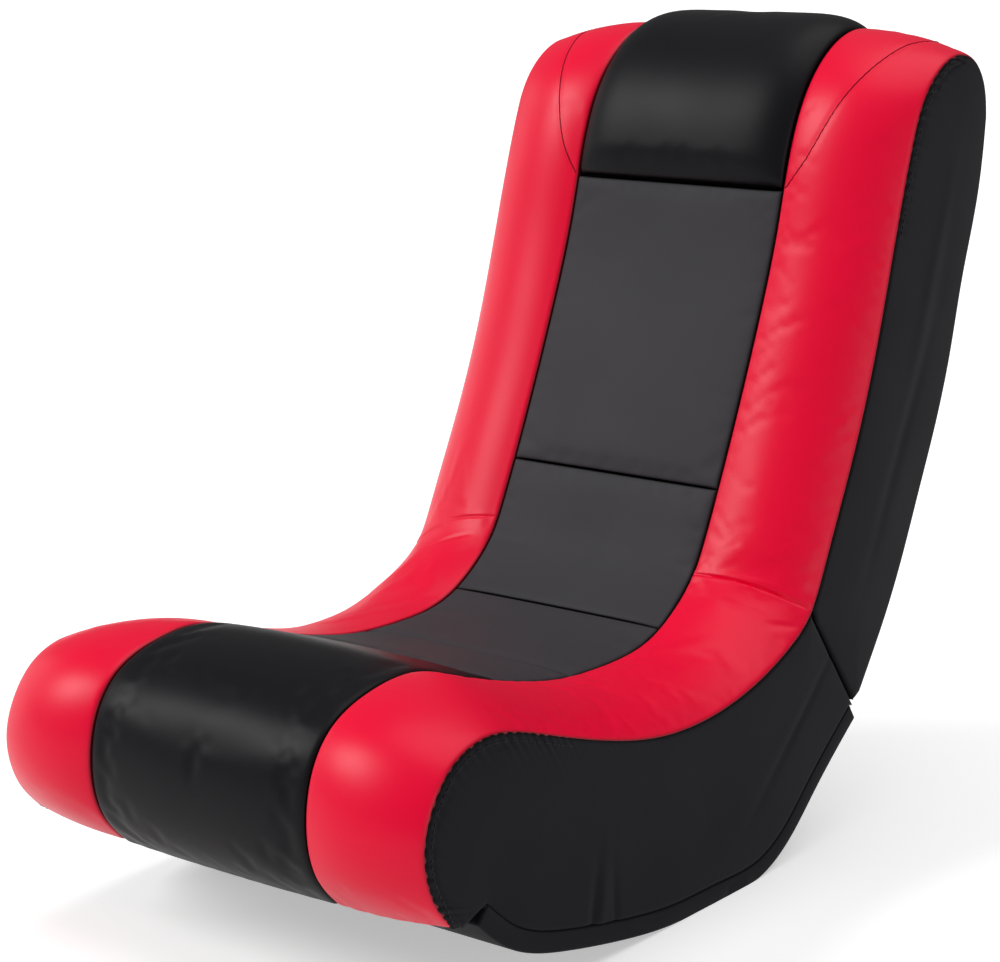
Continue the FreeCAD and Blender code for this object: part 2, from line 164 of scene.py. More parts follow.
def board_finish(name, pale, dark, ring_mm, stretch, roughness):
    """Bare board: wood colour between two hexes, streaked by noise that is stretched along the grain."""
    material, tree = new_material(name)
    place = add_node(tree, "ShaderNodeTexCoord")
    turned = add_node(tree, "ShaderNodeMapping", {"Vector": place.outputs["Object"], "Scale": stretch})
    streak = add_node(tree, "ShaderNodeTexNoise",
                      {"Vector": turned.outputs[0], "Scale": 1000 / ring_mm, "Detail": 6.0})
    colour = add_node(tree, "ShaderNodeMix",
                      {"Factor": streak.outputs["Fac"], 6: linear(pale), 7: linear(dark)}, data_type="RGBA")
    bump = add_node(tree, "ShaderNodeBump",
                    {"Height": streak.outputs["Fac"], "Strength": 0.3, "Distance": 0.2 * MM})
    shader = add_node(tree, "ShaderNodeBsdfPrincipled",
                      {"Base Color": colour.outputs[2], "Roughness": roughness, "Normal": bump.outputs[0]})
    add_node(tree, "ShaderNodeOutputMaterial", {"Surface": shader.outputs[0]})
    return material


# Poplar plywood, rotary cut: pale, with long soft streaks across the chair, and matt where it is sawn
plywood = board_finish("poplar_plywood", "#C9A777", "#9C7748", ring_mm=14.0, stretch=(0.12, 1.0, 1.0),
                       roughness=0.62)
# Hardboard, hot pressed: even brown, with short dark fibres
hardboard = board_finish("hardboard", "#6E4A2E", "#4C3220", ring_mm=3.0, stretch=(1.0, 0.6, 0.6),
                         roughness=0.55)

# Zinc-plated steel, rolled and barrel plated: bluish grey, softly cloudy, with a fine tumbled roughness
ZINC_CLOUD = 9.0
zinc_steel, tree = new_material("zinc_plated_steel")
place = add_node(tree, "ShaderNodeTexCoord")
cloud = add_node(tree, "ShaderNodeTexNoise",
                 {"Vector": place.outputs["Object"], "Scale": 1000 / ZINC_CLOUD, "Detail": 3.0})
tint = add_node(tree, "ShaderNodeMix",
                {"Factor": cloud.outputs["Fac"], 6: linear("#A9ADB3"), 7: linear("#8B9097")},
                data_type="RGBA")
rough = add_node(tree, "ShaderNodeMapRange", {"Value": cloud.outputs["Fac"], "To Min": 0.28, "To Max": 0.42})
shader = add_node(tree, "ShaderNodeBsdfPrincipled",
                  {"Base Color": tint.outputs[2], "Metallic": 1.0, "Roughness": rough.outputs[0]})
add_node(tree, "ShaderNodeOutputMaterial", {"Surface": shader.outputs[0]})

finishes = {"plywood": plywood, "fibreboard": hardboard, "zinc_steel": zinc_steel}
for part in frame["record"]["subparts"]:
    if part["material_slot"] in finishes:
        solid = frame["nodes"][part["node"]]
        solid.data.materials.clear()
        solid.data.materials.append(finishes[part["material_slot"]])

# Bolsters: long foam rolls down both sides of seat and back, in one red vinyl cover each, sewn from below
# the front roll to the top. The cover is cut a little long, so it lies in soft folds at the crease, and a
# gusset is sewn in beside the headrest.

# Half widths at the side seam and at the centre seam, and what the sewn edges stay apart, in mm
SIDE = 212.5
CENTRE = 108.5
SEAM_GAP = 0.25
# How far the roll stands above the straight line between its two seams, in mm, at each station below
SEAT_BULGES = [2, 7, 11, 12, 10, 8, 8, 8.5, 9.5, 11, 12, 13, 14, 15]
BACK_BULGES = [16, 17, 17, 17, 16, 15, 12, 7, 5, 6, 8, 9]
# (y, z) of the side seam and of the centre seam, from below the front roll to the crease, and on over the top
SEAT_STATIONS = [
    ((-318, 86), (-322, 80)), ((-339, 111), (-347, 108)), ((-350, 146), (-358, 147)),
    ((-343, 178), (-352, 188)), ((-322, 205), (-331, 217)), ((-285, 218.5), (-290, 234)),
    ((-249, 214.5), (-244, 238)), ((-200, 199), (-193, 224.5)), ((-130, 177), (-124, 203)),
    ((-60, 162), (-56, 188.5)), ((10, 160), (8, 185)), ((85, 173.5), (75, 193.5)),
    ((125, 188.5), (110, 212)), ((160.5, 212), (137, 236)),
]
BACK_STATIONS = [
    ((180, 245), (151, 258)), ((205, 296), (173, 303)), ((232, 354), (201, 365)),
    ((258, 424), (229, 432)), ((283, 508.5), (259, 516)), ((305, 580), (280, 590)),
    ((325, 626), (305, 636)), ((352, 652), (340, 667)), ((385, 663), (384, 682)),
    ((418, 655), (424, 672)), ((437, 630), (447, 638)), ((441, 606), (452, 606)),
]
FOLD_AXIS = np.array([169.1, 201.0])
SPLIT_END = np.array([236.0, 115.4])
split = (SPLIT_END - FOLD_AXIS) / np.linalg.norm(SPLIT_END - FOLD_AXIS)
to_back = np.array([-split[1], split[0]])


def smooth_line(marks, points):
    """A natural cubic line: between marks it is the cubic that meets both points and both bendings, and the
    bendings are solved so that the slope never jumps and the two ends are straight. Returns a function of
    the mark."""
    marks = np.asarray(marks, float)
    points = np.asarray(points, float)
    gaps = np.diff(marks)
    slopes = np.diff(points, axis=0) / gaps[:, None]
    inner = np.arange(1, len(marks) - 1)
    system = np.eye(len(marks))
    system[inner, inner - 1] = gaps[:-1]
    system[inner, inner] = 2 * (gaps[:-1] + gaps[1:])
    system[inner, inner + 1] = gaps[1:]
    source = np.zeros_like(points)
    source[1:-1] = 6 * np.diff(slopes, axis=0)
    bends = np.linalg.solve(system, source)

    def line(place):
        place = np.asarray(place, float)
        span = np.clip(np.searchsorted(marks, place, side="right") - 1, 0, len(gaps) - 1)
        gap = gaps[span][..., None]
        after = (place - marks[span])[..., None] / gap
        before = 1 - after
        flat = before * points[span] + after * points[span + 1]
        return flat + ((before**3 - before) * bends[span] + (after**3 - after) * bends[span + 1]) * gap**2 / 6

    return line


def walked(points):
    """Distance from the first point to each, along straight steps."""
    return np.concatenate([[0.0], np.cumsum(np.linalg.norm(np.diff(points, axis=0), axis=1))])


stations = np.array(SEAT_STATIONS + BACK_STATIONS, float)
marks = walked(stations.mean(axis=1))
side_seam = smooth_line(marks, stations[:, 0])
centre_seam = smooth_line(marks, stations[:, 1])
bulge_line = smooth_line(marks, np.array(SEAT_BULGES + BACK_BULGES, float)[:, None])
CREASE = marks[len(SEAT_STATIONS) - 1]
FRONT, REAR = marks[0], marks[-1]


def mark_at(point, line=centre_seam):
    """The place along the seams whose point is nearest to a drawn (y, z)."""
    tried = np.linspace(FRONT, REAR, 6001)
    return tried[np.argmin(np.linalg.norm(line(tried) - point, axis=1))]


def on_chair(along, across, height):
    """Points at a place along the seams, x across, and a height from the side seam towards the centre
    seam."""
    foot = side_seam(along)
    rise = centre_seam(along) - foot
    rise = rise / np.linalg.norm(rise, axis=-1, keepdims=True)
    along, across, height = np.broadcast_arrays(along, across, height)
    spot = np.empty(along.shape + (3,))
    spot[..., 0] = across
    spot[..., 1:] = foot + rise * height[..., None]
    return spot


def seam_height(along):
    """How far the centre seam stands above the side seam."""
    return np.linalg.norm(centre_seam(along) - side_seam(along), axis=-1)


def round_over(start, over, end, share):
    """The arc from start over a middle point to end, at shares of its angle. Its centre is where the two
    bisectors meet: with s the squared length of a point and d = 2 (ax (my - by) + mx (by - ay) + bx (ay -
    my)), it is ((as (my - by) + ms (by - ay) + bs (ay - my)) / d, (as (bx - mx) + ms (ax - bx) + bs (mx -
    ax)) / d)."""
    (ax, ay), (mx, my), (bx, by) = start, over, end
    twice = 2 * (ax * (my - by) + mx * (by - ay) + bx * (ay - my))
    first, middle, last = ax**2 + ay**2, mx**2 + my**2, bx**2 + by**2
    x = (first * (my - by) + middle * (by - ay) + last * (ay - my)) / twice
    y = (first * (bx - mx) + middle * (ax - bx) + last * (mx - ax)) / twice
    turn = np.arctan2(ay - y, ax - x)
    sweep = (np.arctan2(by - y, bx - x) - turn) % (2 * math.pi)
    radius = np.hypot(ax - x, ay - y)
    angle = turn + sweep * share
    return x + radius * np.cos(angle), y + radius * np.sin(angle)


def crowded(length, step, first=0.4, growth=1.45):
    """Places from 0 to length whose steps grow from each end by a fixed ratio until they reach the plain
    step."""
    ends = [0.0]
    while first < step:
        ends.append(ends[-1] + first)
        first *= growth
    ends = np.array(ends)
    count = max(1, math.ceil((length - 2 * ends[-1]) / step))
    middle = np.linspace(ends[-1], length - ends[-1], count + 1)[1:-1]
    return np.concatenate([ends, middle, (length - ends)[::-1]])


def finer(field, rows, columns):
    """A coarse field read at fractional rows and columns, by the cubic through the four nearest values."""
    for axis, places in ((0, rows), (1, columns)):
        field = np.moveaxis(field, axis, 0)
        last = len(field) - 1
        base = np.clip(np.floor(places).astype(int), 0, last - 1)
        part = (places - base).reshape((-1,) + (1,) * (field.ndim - 1))
        before, here, there, beyond = (field[np.clip(base + step, 0, last)] for step in (-1, 0, 1, 2))
        bend = 2 * before - 5 * here + 4 * there - beyond + part * (3 * (here - there) + beyond - before)
        field = np.moveaxis(here + 0.5 * part * (there - before + part * bend), 0, axis)
    return field


def outward(grid, towards):
    """Unit normals of a grid of points: across its rows and columns, turned to the side of the given
    directions."""
    normal = np.cross(np.gradient(grid, axis=0), np.gradient(grid, axis=1))
    normal /= np.maximum(np.linalg.norm(normal, axis=-1, keepdims=True), 1e-9)
    return normal * np.sign((normal * towards).sum(axis=-1, keepdims=True) + 1e-12)


def from_edges(grid):
    """Distance of each point of a grid from its first and last row, and from its first and last column."""
    down = np.concatenate([np.zeros((1,) + grid.shape[1:2]),
                           np.cumsum(np.linalg.norm(np.diff(grid, axis=0), axis=-1), axis=0)])
    over = np.concatenate([np.zeros(grid.shape[:1] + (1,)),
                           np.cumsum(np.linalg.norm(np.diff(grid, axis=1), axis=-1), axis=1)], axis=1)
    return np.minimum(down, down[-1] - down), np.minimum(over, over[:, -1:] - over)


def rolled_under(distance, radius, drop):
    """How deep an edge sinks: nothing beyond the radius, and the drop at the edge, along a quarter
    ellipse."""
    near = 1 - np.clip(distance / radius, 0, 1)
    return drop * (1 - np.sqrt(1 - near**2))


def fold_mark(rows, columns, start, end, depth, width):
    """A crease between two (row, column) places: a groove whose depth falls off as exp(-(d / width)^2) with
    the distance d from the line, fading towards its ends, between two low ridges 2.4 widths away."""
    start, end = np.array(start, float), np.array(end, float)
    run = end - start
    share = ((rows - start[0]) * run[0] + (columns - start[1]) * run[1]) / (run @ run)
    kept = np.clip(share, 0, 1)
    distance = np.hypot(rows - start[0] - kept * run[0], columns - start[1] - kept * run[1])
    fade = np.sin(math.pi * np.clip(0.12 + 0.76 * kept, 0, 1))
    ridge = np.exp(-((distance - 2.4 * width) / (1.4 * width)) ** 2)
    return fade * depth * (0.4 * ridge - np.exp(-(distance / width) ** 2))


def sheet_mesh(name, grid):
    """An open mesh of quads over a grid of points in millimetres."""
    index = np.arange(grid.shape[0] * grid.shape[1]).reshape(grid.shape[:2])
    quads = np.stack([index[:-1, :-1], index[1:, :-1], index[1:, 1:], index[:-1, 1:]], axis=-1).reshape(-1, 4)
    mesh = bpy.data.meshes.new(name)
    mesh.from_pydata((grid.reshape(-1, 3) * MM).tolist(), [], quads.tolist())
    return mesh


def edges_sewn(shape):
    """Which points of a cover are held by stitches: those along its four edges."""
    sewn = np.zeros(shape, bool)
    sewn[[0, -1]] = True
    sewn[:, [0, -1]] = True
    return sewn


SETTLING_FRAMES = 20


def stuffed(grid, sewn, surplus, pressure, most):
    """How far each point of a cover moves when foam is pushed into it. The cover is cut larger by the
    surplus, held where it is sewn, and pressed from below in a cloth simulation; a move m is eased to most
    * tanh(m / most)."""
    mesh = sheet_mesh("cover", grid)
    cover = bpy.data.objects.new("cover", mesh)
    bpy.context.scene.collection.objects.link(cover)
    held = cover.vertex_groups.new(name="sewn")
    held.add(np.flatnonzero(sewn.ravel()).tolist(), 1.0, "REPLACE")
    cloth = cover.modifiers.new("cloth", "CLOTH")
    cloth.settings.vertex_group_mass = "sewn"
    cloth.settings.quality = 4
    cloth.settings.mass = 0.3
    cloth.settings.tension_stiffness = 12.0
    cloth.settings.compression_stiffness = 12.0
    cloth.settings.bending_stiffness = 0.6
    cloth.settings.shrink_min = -surplus
    cloth.settings.use_pressure = True
    cloth.settings.uniform_pressure_force = pressure
    cloth.settings.effector_weights.gravity = 0.0
    cloth.point_cache.frame_end = SETTLING_FRAMES
    for number in range(1, SETTLING_FRAMES + 1):
        bpy.context.scene.frame_set(number)
    shape = cover.evaluated_get(bpy.context.evaluated_depsgraph_get())
    moved = np.empty(grid.size)
    shape.data.vertices.foreach_get("co", moved)
    bpy.data.objects.remove(cover)
    bpy.data.meshes.remove(mesh)
    bpy.context.scene.frame_set(1)
    move = moved.reshape(grid.shape) / MM - grid
    length = np.maximum(np.linalg.norm(move, axis=-1, keepdims=True), 1e-6)
    return move * most * np.tanh(length / most) / length


def closed_skin(name, rows, finish, shade=None):
    """A closed mesh over rows of points that each run once round a section, in millimetres. Each point is
    joined to the next in its row and to the same point of the next row, and a cap closes each end. The
    signed volume, a sixth of the sum of a . (b x c) over the faces' triangles, tells whether the faces have
    to be turned to point out."""
    count, around = rows.shape[:2]
    index = np.arange(count * around).reshape(count, around)
    after = np.roll(index, -1, axis=1)
    quads = np.stack([index[:-1], index[1:], after[1:], after[:-1]], axis=-1).reshape(-1, 4)
    points = rows.reshape(-1, 3) * MM
    corner = points[quads] - points.mean(axis=0)
    fan = np.cross(corner[:, 1], corner[:, 2]) + np.cross(corner[:, 2], corner[:, 3])
    volume = (corner[:, 0] * fan).sum()
    faces = quads.tolist() + [index[0].tolist(), index[-1, ::-1].tolist()]
    if volume < 0:
        faces = [face[::-1] for face in faces]
    mesh = bpy.data.meshes.new(name)
    mesh.from_pydata(points.tolist(), [], faces)
    mesh.polygons.foreach_set("use_smooth", np.ones(len(faces), bool))
    mesh.set_sharp_from_angle(angle=math.radians(55))
    if shade is not None:
        seam = mesh.attributes.new("seam", "FLOAT", "POINT")
        seam.data.foreach_set("value", shade.ravel().astype(np.float32))
    mesh.materials.append(finish)
    mesh.update()
    piece = bpy.data.objects.new(name, mesh)
    bpy.context.scene.collection.objects.link(piece)
    return piece


def threads(name, paths, radius, finish):
    """Closed six-sided tubes of one radius along lines of points in millimetres, as one mesh."""
    turns = np.arange(6) * math.pi / 3
    points, faces = [], []
    for path in paths:
        run = np.gradient(path, axis=0)
        run /= np.linalg.norm(run, axis=1, keepdims=True)
        side = np.cross(run, (0.31, 0.52, 0.79))
        side /= np.linalg.norm(side, axis=1, keepdims=True)
        rise = np.cross(run, side)
        ring = (path[:, None] + radius * (np.cos(turns)[None, :, None] * side[:, None]
                                          + np.sin(turns)[None, :, None] * rise[:, None]))
        index = len(points) + np.arange(ring.shape[0] * 6).reshape(-1, 6)
        after = np.roll(index, -1, axis=1)
        quads = np.stack([index[:-1], after[:-1], after[1:], index[1:]], axis=-1).reshape(-1, 4)
        points += (ring.reshape(-1, 3) * MM).tolist()
        faces += quads.tolist() + [index[0, ::-1].tolist(), index[-1].tolist()]
    mesh = bpy.data.meshes.new(name)
    mesh.from_pydata(points, [], faces)
    mesh.polygons.foreach_set("use_smooth", np.ones(len(faces), bool))
    mesh.materials.append(finish)
    piece = bpy.data.objects.new(name, mesh)
    bpy.context.scene.collection.objects.link(piece)
    return piece


HAND_WIDTH = 90.0
# Colour that the seam attribute mixes in: dirt and painted shade along the seams, painted shade on hidden
# undersides
SEAM_DIRT_AND_SHADE = (0.004, 0.003, 0.003, 1)


def pu_vinyl(name, colour, roughness, sheen_level, grain_mm, grain_depth, worn):
    """Polyurethane vinyl: a cloth coated and embossed with a leather grain. The grain is rounded cells with
    a finer noise on them. Colour and gloss drift over a hand's width. The colour darkens by the seam
    attribute: dirt and painted shade in the seams, and painted shade on hidden undersides."""
    material, tree = new_material(name)
    place = add_node(tree, "ShaderNodeTexCoord")
    cells = add_node(tree, "ShaderNodeTexVoronoi",
                     {"Vector": place.outputs["Object"], "Scale": 1000 / grain_mm}, feature="SMOOTH_F1")
    pores = add_node(tree, "ShaderNodeTexNoise",
                     {"Vector": place.outputs["Object"], "Scale": 1000 / (0.5 * grain_mm), "Detail": 3.0})
    drift = add_node(tree, "ShaderNodeTexNoise",
                     {"Vector": place.outputs["Object"], "Scale": 1000 / HAND_WIDTH, "Detail": 2.0})
    seam = add_node(tree, "ShaderNodeAttribute", attribute_name="seam")
    height = add_node(tree, "ShaderNodeMath",
                      {0: cells.outputs["Distance"], 1: pores.outputs["Fac"]}, operation="SUBTRACT")
    bump = add_node(tree, "ShaderNodeBump",
                    {"Height": height.outputs[0], "Strength": 0.6, "Distance": grain_depth * MM})
    base = add_node(tree, "ShaderNodeMix",
                    {"Factor": drift.outputs["Fac"], 6: linear(colour), 7: linear(worn)}, data_type="RGBA")
    # Dirt and painted shade: the colour darkens where the seam attribute is high
    soiled_and_shaded = add_node(tree, "ShaderNodeMix",
                      {"Factor": seam.outputs["Fac"], 6: base.outputs[2], 7: SEAM_DIRT_AND_SHADE}, data_type="RGBA")
    gloss = add_node(tree, "ShaderNodeMapRange",
                     {"Value": drift.outputs["Fac"], "To Min": roughness - 0.05, "To Max": roughness + 0.05})
    shader = add_node(tree, "ShaderNodeBsdfPrincipled",
                      {"Base Color": soiled_and_shaded.outputs[2], "Roughness": gloss.outputs[0],
                       "Normal": bump.outputs[0], "Specular IOR Level": sheen_level})
    add_node(tree, "ShaderNodeOutputMaterial", {"Surface": shader.outputs[0]})
    return material


# Red vinyl, semi-gloss: saturated, with a soft sheen that turns pinkish where it faces the lamps
red_vinyl = pu_vinyl("red_pu_vinyl", "#F20037", 0.38, 0.22, 1.7, 0.07, "#EA0033")

# Sewing thread, spun polyester and dull. The red thread is darker than the red vinyl: painted shade of the
# needle holes and of the groove it lies in
red_thread = pu_vinyl("dark_red_thread", "#A00024", 0.7, 0.1, 0.5, 0.1, "#70001A")
black_thread = pu_vinyl("black_thread", "#2A2A2E", 0.6, 0.2, 0.5, 0.1, "#202023")


def shade_of(edge_rows, edge_columns, reach=1.6):
    """Dirt and painted shade next to a seam: 0.85 in it, fading as exp(-(d / reach)^2)."""
    nearest = np.minimum(edge_rows, edge_columns)
    return 0.85 * np.exp(-(nearest / reach) ** 2)


def bolster_top(along, share):
    """The right bolster's upper side: an arc from the side seam up and over to the centre seam."""
    height = seam_height(along)[:, None]
    bulge = bulge_line(along)
    across, up = round_over((SIDE, np.zeros_like(height)), ((SIDE + CENTRE) / 2, height / 2 + bulge),
                            (CENTRE + SEAM_GAP, height), share[None, :])
    return on_chair(along[:, None], across, up)


# Width of the cover from seam to seam, and the foam's underside: a wall below the centre seam, and a foot
# that ends beside the side seam
BOLSTER_WIDTH = 122.0
WALL_GAP = 0.6
WALL_DEPTH = 7.0
FOOT = 203.0
FOOT_HEIGHT = 0.8
# Creases: (row, column) of the start and of the end in mm, depth, width. A negative depth is a raised roll.
BOLSTER_FOLDS = {
    "right": [
        ((CREASE - 2, 118), (CREASE + 2, 4), 2.6, 1.7),
        ((CREASE - 12, 112), (CREASE - 9, 10), -1.0, 8.0),
        ((CREASE - 30, 30), (CREASE - 14, 3), 0.8, 3.0),
        ((CREASE + 34, 24), (CREASE + 14, 70), 0.5, 8.0),
    ],
    "left": [
        ((CREASE + 4, 60), (CREASE - 6, 3), 1.8, 1.8),
        ((CREASE + 22, 118), (CREASE + 10, 66), 1.3, 2.0),
        ((CREASE - 4, 100), (CREASE - 24, 50), 0.8, 3.0),
        ((CREASE + 40, 20), (CREASE + 26, 80), 0.5, 8.0),
    ],
}
HEADREST_SEAM = mark_at((271, 548))
# Seam of the gusset beside the headrest: distances past the headrest's seam, and from the side seam
GUSSET_SEAM = [(HEADREST_SEAM + past, across) for past, across in
               ((2, 119), (21, 104), (51, 89), (83, 76), (114, 62), (153, 48), (190, 38))]
GUSSET_LENGTH = 210.0
GUSSET_END = REAR - 10.0

# Rows run along the roll and columns across it, in mm, with a row every millimetre near the crease
FINE_REACH = 36
near_crease = CREASE + np.linspace(-FINE_REACH, FINE_REACH, 2 * FINE_REACH + 1)
rows = FRONT + crowded(REAR - FRONT, 3.2)
rows = np.concatenate([rows[rows < near_crease[0] - 1], near_crease, rows[rows > near_crease[-1] + 1]])
columns = crowded(BOLSTER_WIDTH, 3.0)
pattern = bolster_top(np.linspace(FRONT, REAR, 200), np.linspace(0, 1, 18))
pattern_rows = (rows - FRONT) / (REAR - FRONT) * (pattern.shape[0] - 1)
pattern_columns = columns / BOLSTER_WIDTH * (pattern.shape[1] - 1)
seam_path = smooth_line(walked(np.array(GUSSET_SEAM, float)), GUSSET_SEAM)(np.linspace(0, GUSSET_LENGTH, 90))
for side, name in ((1, "right"), (-1, "left")):
    flipped = pattern * (side, 1, 1)
    puffed = stuffed(flipped, edges_sewn(pattern.shape[:2]), surplus=0.003, pressure=2.0, most=0.35)
    top = bolster_top(rows, columns / BOLSTER_WIDTH)
    top += finer(puffed * (side, 1, 1), pattern_rows, pattern_columns)
    edge_rows, edge_columns = from_edges(top)
    towards = on_chair(rows, 160.0, 60.0) - on_chair(rows, 160.0, 0.0)
    sink = (rolled_under(edge_columns, radius=4.0, drop=2.4)
            + rolled_under(edge_rows, radius=6.0, drop=5.0))
    for fold in BOLSTER_FOLDS[name]:
        sink = sink - fold_mark(rows[:, None], columns[None, :], *fold)
    # The gusset's seam draws the vinyl in by 0.9 mm
    for start, end in zip(seam_path[:-3:3], seam_path[3::3]):
        sink = np.maximum(sink, 0.9 * np.exp(-(((rows[:, None] - (start[0] + end[0]) / 2) / 3.0) ** 2
                                               + ((columns[None] - (start[1] + end[1]) / 2) / 2.5) ** 2)))
    top -= outward(top, towards[:, None]) * sink[..., None]
    height = seam_height(rows)
    below = np.stack([on_chair(rows, CENTRE + WALL_GAP + share * (FOOT - CENTRE),
                               (height - WALL_DEPTH) * (1 - share) + FOOT_HEIGHT * share)
                      for share in (0.0, 0.25, 0.5, 0.75, 1.0)], axis=1)
    loop = np.concatenate([top, below], axis=1)
    # Dirt and painted shade along the cover's sewn edges, and full painted shade on the hidden underside
    shade = np.concatenate([shade_of(edge_rows, edge_columns), np.ones(below.shape[:2])], axis=1)
    bolster = closed_skin("bolster_" + name, loop * (side, 1, 1), red_vinyl, shade)
    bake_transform(bolster)
    sampled = np.stack([finer(top, [np.interp(along, rows, np.arange(len(rows)))],
                              [np.interp(across, columns, np.arange(len(columns)))])[0, 0]
                        for along, across in seam_path if along < GUSSET_END])
    # Dark red thread along the gusset's seam: painted shade of the seam's groove
    gusset = threads("gusset_seam_" + name, [sampled * (side, 1, 1)], radius=0.6, finish=red_thread)
    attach(gusset, "backrest")
    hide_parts(*[f"{part}_{layer}_{name}"
                           for part in ("seat_bolster", "bolster_fold", "back_bolster")
                           for layer in ("foam", "cover")])

# Centre pads: foam sewn into vinyl between the bolsters, in five lengths. The front roll and the headrest
# are fuller and glossier, and the seat, lumbar and back pads are matt charcoal and nearly flush at their
# cross seams.
ROLL_SEAM = mark_at((-134, 205))
SEAT_SEAM = mark_at((-37, 186))
LOWER_FOLD_SEAM = mark_at((87, 198))
UPPER_FOLD_SEAM = mark_at((174, 301))

# Charcoal vinyl, matt: a dry hand with almost no sheen
charcoal_vinyl = pu_vinyl("charcoal_matt_vinyl", "#3B3A3E", 0.60, 0.15, 1.5, 0.05, "#373639")
# Black vinyl, semi-gloss: the same coating as the red, so light draws a soft band along each roll
gloss_vinyl = pu_vinyl("black_gloss_vinyl", "#131316", 0.42, 0.11, 1.7, 0.06, "#101013")

# The foam's underside lies this far below the centre seam, and stays this far from the bolsters, in mm
PAD_DEPTH = 8.0
PAD_GAP = 0.7


def centre_pad(name, start, end, nodes, finish, crown=3.0, square=2.6, round_end=3.0, drop=1.8,
               channel=None, surplus=0.004, most=0.9):
    """A crowned pad between two places along the seams. Its top is at seam + crown * (1 - |x|^square), sunk
    along all four edges, and by a second quarter ellipse along a sewn channel."""
    width = 2 * (CENTRE - SEAM_GAP)

    def top_at(along, share):
        across = 1 - 2 * share[None, :]
        near = np.minimum(along - start, end - along)[:, None] / 30.0
        full = crown * (1 - np.abs(across) ** square) * np.sqrt(1 - (1 - np.clip(near, 0, 1)) ** 2)
        return on_chair(along[:, None], across * width / 2, seam_height(along)[:, None] + full)

    rows = start + crowded(end - start, 3.0)
    columns = crowded(width, 3.6)
    count_rows, count_columns = max(8, round((end - start) / 8)), 28
    coarse_rows = np.linspace(start, end, count_rows + 1)
    pattern = top_at(coarse_rows, np.linspace(0, 1, count_columns + 1))
    sewn = edges_sewn(pattern.shape[:2])
    if channel:
        sewn[np.argmin(np.abs(coarse_rows - channel))] = True
    puffed = stuffed(pattern, sewn, surplus, pressure=3.0, most=most)
    top = top_at(rows, columns / width)
    top += finer(puffed, (rows - start) / (end - start) * count_rows, columns / width * count_columns)
    edge_rows, edge_columns = from_edges(top)
    towards = on_chair(rows, 0.0, 60.0) - on_chair(rows, 0.0, 0.0)
    sink = rolled_under(edge_columns, radius=4.0, drop=2.2) + rolled_under(edge_rows, round_end, drop)
    # Dirt and painted shade along the pad's sewn edges
    shade = shade_of(edge_rows, edge_columns)
    if channel:
        beside = np.abs(rows - channel)[:, None] + np.zeros_like(columns)
        sink = sink + rolled_under(beside, radius=12.0, drop=0.9) + np.exp(-(beside / 1.4) ** 2)
        # Painted shade in the sewn channel
        shade = np.maximum(shade, 0.5 * np.exp(-(beside / 1.2) ** 2))
    top -= outward(top, towards[:, None]) * sink[..., None]
    below = np.stack([on_chair(rows, (CENTRE - PAD_GAP) * across, seam_height(rows) - PAD_DEPTH)
                      for across in (-1, -0.5, 0, 0.5, 1)], axis=1)
    loop = np.concatenate([top, below], axis=1)
    # The hidden underside takes full painted shade
    piece = closed_skin(name, loop, finish, np.concatenate([shade, np.ones(below.shape[:2])], axis=1))
    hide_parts(*nodes)
    return piece


front_roll = centre_pad("front_roll", FRONT, ROLL_SEAM - SEAM_GAP, ("front_roll_foam", "front_roll_cover"),
                        gloss_vinyl, crown=4.0, round_end=4.0, drop=2.2)
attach(front_roll, "seat")
seat_pad = centre_pad("seat_pad", ROLL_SEAM + SEAM_GAP, LOWER_FOLD_SEAM - SEAM_GAP,
                      ("seat_center_foam", "seat_center_cover"), charcoal_vinyl,
                      channel=SEAT_SEAM)
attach(seat_pad, "seat")
lumbar_pad = centre_pad("lumbar_pad", LOWER_FOLD_SEAM + SEAM_GAP, UPPER_FOLD_SEAM - SEAM_GAP,
                        ("lumbar_foam", "lumbar_cover"), charcoal_vinyl)
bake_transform(lumbar_pad)
back_pad = centre_pad("back_pad", UPPER_FOLD_SEAM + SEAM_GAP, HEADREST_SEAM - SEAM_GAP,
                      ("back_center_foam", "back_center_cover"), charcoal_vinyl)
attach(back_pad, "backrest")
headrest = centre_pad("headrest_pad", HEADREST_SEAM + SEAM_GAP, REAR, ("headrest_foam", "headrest_cover"),
                      gloss_vinyl, crown=12.5, square=7.0, round_end=9.0, drop=7.0,
                      surplus=0.005, most=0.6)
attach(headrest, "backrest")

# Side panels: black vinyl over thin foam, glued to the cheeks and sewn to the bolsters. The vinyl is
# gathered where the seam turns tightly, round the front roll and the top, and a row of stitches runs beside
# the seam there.

# Half width over the cheeks and the rocker's thickness, in mm, then (y, z) down the back of the chair and
# along the rocker's underside from front to rear
CHEEK = 202.5
ROCKER_DEPTH = 16.5
REAR_LINE = [(441, 606), (437, 570), (428, 528), (408, 468), (390, 402), (366, 337), (341, 284), (313, 226),
             (285, 178), (264, 148), (246, 123)]
ROCKER_LINE = [(-291.5, 81), (-254, 51), (-182, 25), (-100, 8), (-42, 0.3), (25, -1.6), (90, 0.4), (130, 17),
               (174, 52), (239, 101.5)]
black_vinyl = pu_vinyl("black_side_vinyl", "#131318", 0.55, 0.07, 1.7, 0.06, "#101014")
rear_curve = smooth_line(walked(np.array(REAR_LINE, float)), REAR_LINE)
rear_length = walked(np.array(REAR_LINE, float))[-1]
rocker_curve = smooth_line(walked(np.array(ROCKER_LINE, float)), ROCKER_LINE)
rocker_length = walked(np.array(ROCKER_LINE, float))[-1]


def even(line, count):
    """Points spread evenly by length along a line of points."""
    line = np.asarray(line, float)
    length = walked(line)
    places = np.linspace(0, length[-1], count)
    return np.stack([np.interp(places, length, line[:, axis]) for axis in range(line.shape[1])], axis=1)


